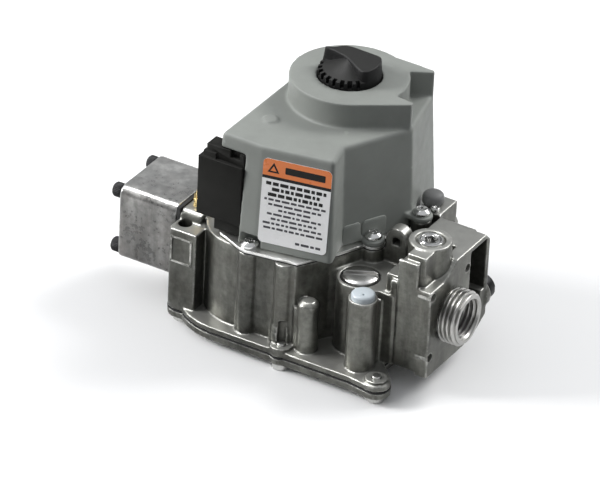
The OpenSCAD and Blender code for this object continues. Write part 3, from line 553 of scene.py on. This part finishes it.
def cover_tabs():
    """Two upright pads with rounded tops, moulded on the foot of the cover's front right wall."""
    wall_start = Vector((14.9, -14.46, 44.2)) * MM
    wall_way = (0.4526, 0.8917, 0)
    height, round_r, depth, edge = 8.2 * MM, 1.6 * MM, 1.2 * MM, 0.3 * MM
    for i, (x0, x1) in enumerate(((0.2, 7.9), (8.7, 19.0))):
        outline = arched_outline(x0 * MM, x1 * MM, height, round_r)
        panel(f"cover_tab_{i + 1}", outline, wall_start, wall_way, (0, 0, 1), depth, edge,
              "valve", "cover_paint")


def date_frame():
    """The raised rim of the empty date panel on the column beside the inlet flange."""
    x0, x1, z0, z1, face_y = -46.3 * MM, -37.1 * MM, 26.7 * MM, 37.7 * MM, -34.0 * MM
    rim, proud, depth, edge = 0.75 * MM, 0.16 * MM, 0.6 * MM, 0.14 * MM
    bars = ((x0, x1, z0, z0 + rim), (x0, x1, z1 - rim, z1),
            (x0, x0 + rim, z0, z1), (x1 - rim, x1, z0, z1))
    for i, (xa, xb, za, zb) in enumerate(bars):
        outline = [(0, 0), (xb - xa, 0), (xb - xa, zb - za), (0, zb - za)]
        panel(f"date_frame_{i + 1}", outline, (xa, face_y - proud, za), (1, 0, 0), (0, 0, 1), depth, edge,
              "valve", "cast_body")


def screw_hole_walls():
    """Thin sleeves that close the walls of the outlet flange's screw holes where they run along its edge."""
    holes = MOUNTS["outlet_flange_holes"]
    face = Vector(holes["pos_m"])
    half_y, half_z = (holes["dims"][k] * MM / 2 for k in ("spacing_x_mm", "spacing_y_mm"))
    inner, wall, depth, sunk = holes["dims"]["hole_r_mm"] * MM, 0.28 * MM, 5.4 * MM, 0.12 * MM
    rows = [(0, inner), (0, inner + wall), (depth, inner + wall), (depth, inner), (0, inner)]
    for i, (sy, sz) in enumerate(((-1, -1), (1, -1), (-1, 1), (1, 1))):
        start = (face.x - sunk, face.y + sy * half_y, face.z + sz * half_z)
        name = f"outlet_hole_wall_{i + 1}"
        place(name, spun(name, rows, 48, start, (-1, 0, 0)), "valve", "cast_body")


cover_tabs()
date_frame()
screw_hole_walls()


# ---- Knob -------------------------------------------------------------------


def cut_corners(points, rounds):
    """The closed outline with its corners cut again and again until it is smooth."""
    for _ in range(rounds):
        following = np.roll(points, -1, axis=0)
        near, far = 0.75 * points + 0.25 * following, 0.25 * points + 0.75 * following
        points = np.stack([near, far], axis=1).reshape(-1, 2)
    return points


def depth_inside(points, outline):
    """How far each point lies inside the closed outline; negative outside."""
    nearest = np.full(len(points), np.inf)
    crossings = np.zeros(len(points), int)
    for a, b in zip(outline, np.roll(outline, -1, axis=0)):
        way = b - a
        part = np.clip(((points - a) @ way) / (way @ way), 0, 1)
        nearest = np.minimum(nearest, np.hypot(*(points - a - part[:, None] * way).T))
        spans = (a[1] > points[:, 1]) != (b[1] > points[:, 1])
        slope = way[0] / way[1] if abs(way[1]) > 1e-12 else 0.0
        crossings += spans & (points[:, 0] < a[0] + (points[:, 1] - a[1]) * slope)
    return np.where(crossings % 2 == 1, nearest, -nearest)


def knob_skin():
    """A skirt with notches, a low dome, and the grip: a pointer that widens to a full round end.

    The top is a field of heights on rings and spokes. Below it come the skirt's wall and the hub. Sizes are
    in mm, and heights count from the skirt's upper edge.
    """
    low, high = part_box("knob")
    centre = (low + high) / 2
    skirt_r = (high.x - low.x) / 2 / MM
    rim_r = skirt_r - 0.3
    grip_h, dome_h, dome_r = 5.4, 4.7, rim_r - 0.15
    skirt_z = high.z / MM - grip_h
    end = [(rim_r * math.cos(math.radians(a)), rim_r * math.sin(math.radians(a)))
           for a in range(-28, 41, 8)]
    front = [(-11.2, 0.1), (-8, 0.0), (-4.5, -0.3), (-1.5, -0.9), (2, -2.7), (5, -4.6), (8.2, -6.2)]
    rear = [(7.5, 7.3), (2, 7.1), (-3.6, 7.0), (-6.4, 5.6), (-8, 3.0), (-9.8, 1.6), (-11.2, 1.3)]
    outline = cut_corners(np.array(front + end + rear), 2)
    spokes, rings, teeth = 288, 96, 24
    angle = np.tile(2 * math.pi * np.arange(spokes) / spokes, rings)
    r = np.repeat(np.linspace(rim_r / rings, rim_r, rings), spokes)
    x, y = r * np.cos(angle), r * np.sin(angle)
    inside = depth_inside(np.stack([x, y], axis=1), outline)
    dome = dome_h * np.clip(1 - r / dome_r, 0, 1) ** 1.15
    round_r, steep = 0.6, 8.0
    top = grip_h - 0.045 * (x + rim_r) - 0.006 * (y - 3) ** 2
    beyond = np.clip(round_r - inside, 0, round_r)
    edge = round_r - np.sqrt(np.maximum(round_r ** 2 - beyond ** 2, 0))
    grip = top - np.where(inside < 0, round_r - inside * steep, edge)
    z = np.maximum(dome, np.minimum(grip, grip_h))
    notch_depth = 2.3
    notched = (np.cos(teeth * angle) > 0.0) & (inside < -0.9)
    z = np.where(notched & (r > rim_r - 1.3), -notch_depth, z)
    verts = list(zip(x, y, z))
    cut = notched[-spokes:]
    skirt_h = 4.5
    wall = ((skirt_r - 0.08, 0.12), (skirt_r, 0.4), (skirt_r, 2.2), (skirt_r, 4.4),
            (skirt_r - 0.15, skirt_h))
    hub_r, hub_drop, bore_r, bore_drop = 5.2, skirt_z - low.z / MM, 3.05, 1.7
    hub = ((hub_r, skirt_h), (hub_r, hub_drop), (bore_r, hub_drop), (bore_r, bore_drop))
    for radius, drop in wall:
        for k in range(spokes):
            a = 2 * math.pi * k / spokes
            height = -max(drop, notch_depth + drop / 10 if cut[k] else 0)
            verts.append((radius * math.cos(a), radius * math.sin(a), height))
    for radius, drop in hub:
        for k in range(spokes):
            a = 2 * math.pi * k / spokes
            verts.append((radius * math.cos(a), radius * math.sin(a), -drop))
    total = rings + len(wall) + len(hub)
    faces = [tuple(range(spokes)), tuple(reversed(range((total - 1) * spokes, total * spokes)))]
    for i in range(total - 1):
        for k in range(spokes):
            m = (k + 1) % spokes
            faces.append((i * spokes + k, (i + 1) * spokes + k, (i + 1) * spokes + m, i * spokes + m))
    verts = [(centre.x + a * MM, centre.y + b * MM, (skirt_z + c) * MM) for a, b, c in verts]
    mesh = mesh_from("knob_skin", verts, faces)
    mesh.set_sharp_from_angle(angle=math.radians(42))
    stand_for("knob", mesh)


knob_skin()


# ---- Turned plugs and caps --------------------------------------------------


def turned(node, rows, count=72):
    """A lathe piece for a node that stands upright: rows are (height above its foot, radius) in mm."""
    low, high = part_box(node)
    origin = ((low.x + high.x) / 2, (low.y + high.y) / 2, low.z)
    scaled = [(h * MM, r if callable(r) else r * MM) for h, r in rows]
    stand_for(node, spun(node + "_skin", scaled, count, origin, (0, 0, 1)))


def turned_parts():
    """The small grey cap, the plug with a hex socket, and the seal that shows round the regulator's cap."""
    def height(node):
        low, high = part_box(node)
        return (high.z - low.z) / MM

    h = height("grey_cap")
    turned("grey_cap", [(0, 0), (0, 1.3), (0.3, 1.55), (5, 1.55), (5, 3.3), (5.2, 3.8), (5.7, 4.1),
                        (7.6, 4.1), (8.5, 3.85), (9.1, 3.3), (9.5, 2.5), (h - 0.1, 1.5), (h, 0)])
    h = height("tap_plug")
    socket = hexagon(2.75 * MM)
    turned("tap_plug", [(0, 0), (0, 3.4), (0.3, 3.65), (8.9, 3.65), (8.9, 4.55), (9.05, 4.7),
                        (h - 0.2, 4.7), (h, 4.5), (h, 4.05), (h - 0.3, 3.9), (h - 0.3, 3.6),
                        (h - 0.05, 3.4), (h - 0.05, 2.95), (h - 0.2, socket), (h - 3.3, socket),
                        (h - 3.4, 0)], 144)
    seal_below_cap_top = 1.35
    seal_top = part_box("regulator_cap")[1].z / MM - seal_below_cap_top
    rise = seal_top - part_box("regulator_cap_seal")[0].z / MM
    turned("regulator_cap_seal", [(0, 5.85), (0, 6.6), (0.3, 6.8), (rise - 0.35, 6.85),
                                  (rise - 0.1, 6.95), (rise, 7.1), (rise - 0.1, 7.28),
                                  (rise - 0.35, 7.38), (rise - 0.8, 7.3), (0.6, 6.76),
                                  (0.6, 5.85), (0, 5.85)])


turned_parts()


def flange_screws():
    """Black socket head screws with knurled heads."""
    low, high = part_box("inlet_screws")
    head_r, head_h = 2.85 * MM, 4 * MM
    reach_y = (high.y - low.y) / 2 - head_r
    reach_z = (high.z - low.z) / 2 - head_r
    middle_y, middle_z = (high.y + low.y) / 2, (high.z + low.z) / 2
    teeth = 30

    def knurl(a):
        return head_r - 0.14 * MM * (0.5 + 0.5 * math.cos(teeth * a))

    socket = hexagon(1.6 * MM)
    length = high.x - low.x
    socket_depth, neck_r, shank_r = 2.4 * MM, 2.6 * MM, 1.6 * MM
    rows = [(socket_depth, 0.0), (socket_depth, socket), (0.25 * MM, socket), (0.0, 1.85 * MM),
            (0.0, 2.35 * MM), (0.35 * MM, 2.62 * MM), (0.6 * MM, knurl), (head_h - 0.5 * MM, knurl),
            (head_h - 0.3 * MM, neck_r), (head_h, neck_r), (head_h, shank_r),
            (length - 0.4 * MM, shank_r), (length, 1.2 * MM), (length, 0.0)]
    for i, (sy, sz) in enumerate(((-1, -1), (1, -1), (-1, 1), (1, 1))):
        start = (low.x, middle_y + sy * reach_y, middle_z + sz * reach_z)
        mesh = spun("inlet_screw", rows, 180, start, (1, 0, 0))
        screw = place(f"inlet_screw_{i + 1}", mesh, "valve", "black_oxide")
        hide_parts("inlet_screws")


flange_screws()


def helix_mesh(name, centre, mean_r, wire_r, z0, z1, turns):
    """A round-wire compression spring whose end coils lie nearly flat."""
    sides, per_turn = 10, 36
    steps = int(turns * per_turn)
    verts, faces = [], []
    for i in range(steps + 1):
        part = i / steps
        a = 2 * math.pi * turns * part
        eased = part - 0.06 * math.sin(2 * math.pi * part)
        z = z0 + wire_r + (z1 - z0 - 2 * wire_r) * eased
        for j in range(sides):
            b = 2 * math.pi * j / sides
            r = mean_r + wire_r * math.cos(b)
            verts.append((centre[0] + r * math.cos(a), centre[1] + r * math.sin(a),
                          z + wire_r * math.sin(b)))
    for i in range(steps):
        for j in range(sides):
            k = (j + 1) % sides
            faces.append((i * sides + j, (i + 1) * sides + j, (i + 1) * sides + k, i * sides + k))
    faces.append(tuple(range(sides)))
    faces.append(tuple(steps * sides + j for j in reversed(range(sides))))
    return mesh_from(name, verts, faces)


def spring(node, joint, wire, turns):
    """A finer copy of a CAD spring, with a mesh of its own when it has a joint. wire is its radius in mm."""
    low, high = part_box(node)
    wire_r = wire * MM
    centre = ((low.x + high.x) / 2, (low.y + high.y) / 2)
    mesh = helix_mesh(node, centre, (high.x - low.x) / 2 - wire_r, wire_r, low.z, high.z, turns)
    obj = stand_for(node, mesh)
    if joint:
        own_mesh(obj)


spring("main_valve_spring", "main_valve_lift", 0.5, 6)
spring("safety_spring", "safety_valve_lift", 0.5, 5)
spring("servo_spring", "servo_valve_lift", 0.25, 5)
spring("regulator_spring", "regulator_travel", 0.4, 6)
spring("shutoff_spring", None, 0.45, 4)


# ---- Warning label ----------------------------------------------------------

INKS = {
    "orange_ink": moulded("orange_ink", (0.8, 0.2, 0.035), 0.32, grain=0.004, coat=0.3, edge_wear_and_highlight=1.05),
    "black_ink": moulded("black_ink", (0.008, 0.008, 0.007), 0.5, grain=0.004, specular=0.15),
    "grey_ink": moulded("grey_ink", (0.05, 0.05, 0.055), 0.5, grain=0.004, specular=0.2),
}


def label_frame():
    """The label's outer face: its top left corner, its ways right, down and out, and its size."""
    points = np.array([v.co for v in NODES["label"].data.vertices])
    top = points[points[:, 2] > points[:, 2].max() - 0.5 * MM]
    bottom = points[points[:, 2] < points[:, 2].min() + 0.5 * MM]
    across = Vector(top[top[:, 0].argmax()] - top[top[:, 0].argmin()])
    across.z = 0
    across.normalize()
    outwards = Vector((across.y, -across.x, 0))

    def face_corner(group, far):
        score = [Vector(q).dot(across) * far + Vector(q).dot(outwards) * 3 for q in group]
        return Vector(group[int(np.argmax(score))])

    top_left, top_right = face_corner(top, -1), face_corner(top, 1)
    low_left = face_corner(bottom, -1)
    right = top_right - top_left
    down = low_left - top_left
    width, height = right.length, down.length
    right.normalize()
    down.normalize()
    return top_left, right, down, down.cross(right), width, height


corner, label_right, label_down, label_out, label_w, label_h = label_frame()


def rounded_outline(x0, y0, x1, y1, radii, steps=8):
    """Points round a rectangle whose corners have these radii: top left, top right, low right, low left."""
    corners = ((x0, y0, 1, 1, math.pi), (x1, y0, -1, 1, 1.5 * math.pi),
               (x1, y1, -1, -1, 0), (x0, y1, 1, -1, 0.5 * math.pi))
    points = []
    for (x, y, sx, sy, start), r in zip(corners, radii):
        if r <= 0:
            points.append((x, y))
            continue
        for i in range(steps + 1):
            a = start + 0.5 * math.pi * i / steps
            points.append((x + sx * r + r * math.cos(a), y + sy * r + r * math.sin(a)))
    return points


def film(name, outlines, depth, low, look):
    """Flat patches on the label's face, each a closed thin solid from low to low + depth above the face."""
    verts, faces = [], []
    for outline in outlines:
        n, first = len(outline), len(verts)
        for height in (low, low + depth):
            for x, y in outline:
                verts.append(corner + label_right * x + label_down * y + label_out * height)
        faces.append(tuple(first + n + i for i in reversed(range(n))))
        faces.append(tuple(first + i for i in range(n)))
        faces += [(first + (i + 1) % n, first + i, first + n + i, first + n + (i + 1) % n)
                  for i in range(n)]
    mesh = mesh_from(name, verts, faces, False)
    work = bmesh.new()
    work.from_mesh(mesh)
    bmesh.ops.recalc_face_normals(work, faces=work.faces)
    work.to_mesh(mesh)
    work.free()
    obj = place(name, mesh, "valve", "label_film")
    mesh.materials[0] = look
    return obj


def word_bars(x0, x1, y, height):
    """A row of short bars between x0 and x1 that reads as a line of small print without any letters."""
    shortest, gap, round_r = 0.5 * MM, 0.55 * MM, 0.2 * MM
    bars, x = [], x0
    while x < x1 - shortest:
        length = min(dice.uniform(0.9, 3.4) * MM, x1 - x)
        bars.append(rounded_outline(x, y, x + length, y + height, [round_r] * 4, 2))
        x += length + gap
    return bars


def label_art():
    """The label: white film, orange band with a sign and a bar, a black line, and rows of bars for print."""
    w, h = label_w, label_h
    band, line, round_r = 6.7 * MM, 1.2 * MM, 1.9 * MM
    paper, thin = 0.19 * MM, 0.03 * MM
    whole = rounded_outline(0, 0, w, h, [round_r] * 4)
    base = film("label_skin", [whole], paper, -paper, LOOKS["label_film"])
    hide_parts("label")
    band_outline = rounded_outline(0, 0, w, band, [round_r, round_r, 0, 0])
    film("label_band", [band_outline], thin, 0.0, INKS["orange_ink"])
    film("label_line", [rounded_outline(0, band, w, band + line, [0] * 4)], thin, 0.0, INKS["black_ink"])
    sign_x, sign_y, side = 4.1 * MM, 1.3 * MM, 4.6 * MM
    triangle = [(sign_x, sign_y), (sign_x + side / 2, sign_y + side * 0.87),
                (sign_x - side / 2, sign_y + side * 0.87)]
    film("label_sign", [triangle], thin, thin, INKS["black_ink"])
    inner = [(sign_x, sign_y + side * 0.3), (sign_x + side * 0.26, sign_y + side * 0.73),
             (sign_x - side * 0.26, sign_y + side * 0.73)]
    film("label_sign_inner", [inner], thin, 2 * thin, INKS["orange_ink"])
    title = rounded_outline(8.6 * MM, 2.2 * MM, w - 2.4 * MM, 4.9 * MM, [0.4 * MM] * 4)
    film("label_title", [title], thin, thin, INKS["black_ink"])
    bold, small = [], []
    bold_height, bold_pitch, bold_insets = 1.35 * MM, 2.2 * MM, (1.6, 4.0, 2.6)
    small_height, small_pitch, small_insets = 0.85 * MM, 1.85 * MM, (1.4, 3.0, 7.0, 2.8, 4.4, 1.4, 1.8)
    y = band + line + 1.1 * MM
    for inset in bold_insets:
        bold += word_bars(inset * MM, w - inset * MM, y, bold_height)
        y += bold_pitch
    for inset in small_insets:
        y += 0.05 * MM
        small += word_bars(inset * MM, w - inset * MM, y, small_height)
        y += small_pitch
    small += word_bars(w - 12 * MM, w - 2.2 * MM, h - 2.6 * MM, 0.95 * MM)
    film("label_bold_bars", bold, thin, 0.0, INKS["black_ink"])
    film("label_small_bars", small, thin, 0.0, INKS["grey_ink"])


label_art()


# ---- Stage, light and camera ------------------------------------------------


def area_light(name, place_m, look_at, size, power):
    """A square soft box that points at look_at. Sizes are in metres, power in watts."""
    lamp = bpy.data.lights.new(name, "AREA")
    lamp.shape = "RECTANGLE"
    lamp.size, lamp.size_y = size, size
    lamp.energy = power
    obj = bpy.data.objects.new(name, lamp)
    bpy.context.scene.collection.objects.link(obj)
    obj.location = place_m
    obj.rotation_euler = (Vector(look_at) - Vector(place_m)).to_track_quat("-Z", "Y").to_euler()
    return obj


FLOOR = 3
floor_corners = [(-FLOOR, -FLOOR, 0), (FLOOR, -FLOOR, 0), (FLOOR, FLOOR, 0), (-FLOOR, FLOOR, 0)]
floor_mesh = mesh_from("floor", floor_corners, [(0, 1, 2, 3)], False)
floor = bpy.data.objects.new("floor", floor_mesh)
bpy.context.scene.collection.objects.link(floor)
paper = Paint("paper", rough=0.9, specular=0.2)
paper.colour(paper.ramp(paper.noise(3, 2), [(0.3, (0.9, 0.9, 0.9)), (0.7, (0.93, 0.93, 0.93))]))
floor_mesh.materials.append(paper.mat)
floor.visible_diffuse = False

bpy.context.scene.view_settings.view_transform = "Standard"
world = bpy.data.worlds.new("studio")
bpy.context.scene.world = world
world.use_nodes = True
sky_nodes, sky_links = world.node_tree.nodes, world.node_tree.links
sky_way = sky_nodes.new("ShaderNodeSeparateXYZ")
sky_links.new(sky_nodes.new("ShaderNodeTexCoord").outputs["Generated"], sky_way.inputs[0])
sky_tone = sky_nodes.new("ShaderNodeMapRange")
sky_tone.inputs["From Min"].default_value = -0.1
sky_tone.inputs["To Min"].default_value = 0.12
sky_tone.inputs["To Max"].default_value = 0.62
sky_links.new(sky_way.outputs["Z"], sky_tone.inputs["Value"])
sky_nodes["Background"].inputs["Color"].default_value = (0.95, 0.97, 1.0, 1.0)
sky_links.new(sky_tone.outputs["Result"], sky_nodes["Background"].inputs["Strength"])

middle = (0.0, 0.0, 0.045)
area_light("back_box", (0.75, 1.15, 1.3), middle, size=0.8, power=26)
area_light("left_box", (-1.35, -0.7, 0.8), middle, size=0.7, power=31)
glint = area_light("glint_box", (-0.55, -0.12, 1.2), middle, size=0.45, power=16)
glint.visible_diffuse = False  # only for the flashes along the castings' rounded edges

camera_data = bpy.data.cameras.new("camera")
camera_data.lens = 360
camera_data.sensor_width = 36
camera_data.clip_start, camera_data.clip_end = 0.05, 20
camera = bpy.data.objects.new("camera", camera_data)
bpy.context.scene.collection.objects.link(camera)
AZIMUTH, ELEVATION, ROLL = math.radians(29.4), math.radians(31.3), math.radians(2.85)
DISTANCE = 2.1818
back = Vector((math.sin(AZIMUTH) * math.cos(ELEVATION), -math.cos(AZIMUTH) * math.cos(ELEVATION),
               math.sin(ELEVATION)))
right = Vector((math.cos(AZIMUTH), math.sin(AZIMUTH), 0))
up = back.cross(right)
rolled_right = right * math.cos(ROLL) + up * math.sin(ROLL)
rolled_up = up * math.cos(ROLL) - right * math.sin(ROLL)
aim = Vector((3.3, -25.2, 48.3)) * MM
turn = Matrix((rolled_right, rolled_up, back)).transposed()
camera.matrix_world = Matrix.Translation(aim + back * DISTANCE) @ turn.to_4x4()
bpy.context.scene.camera = camera
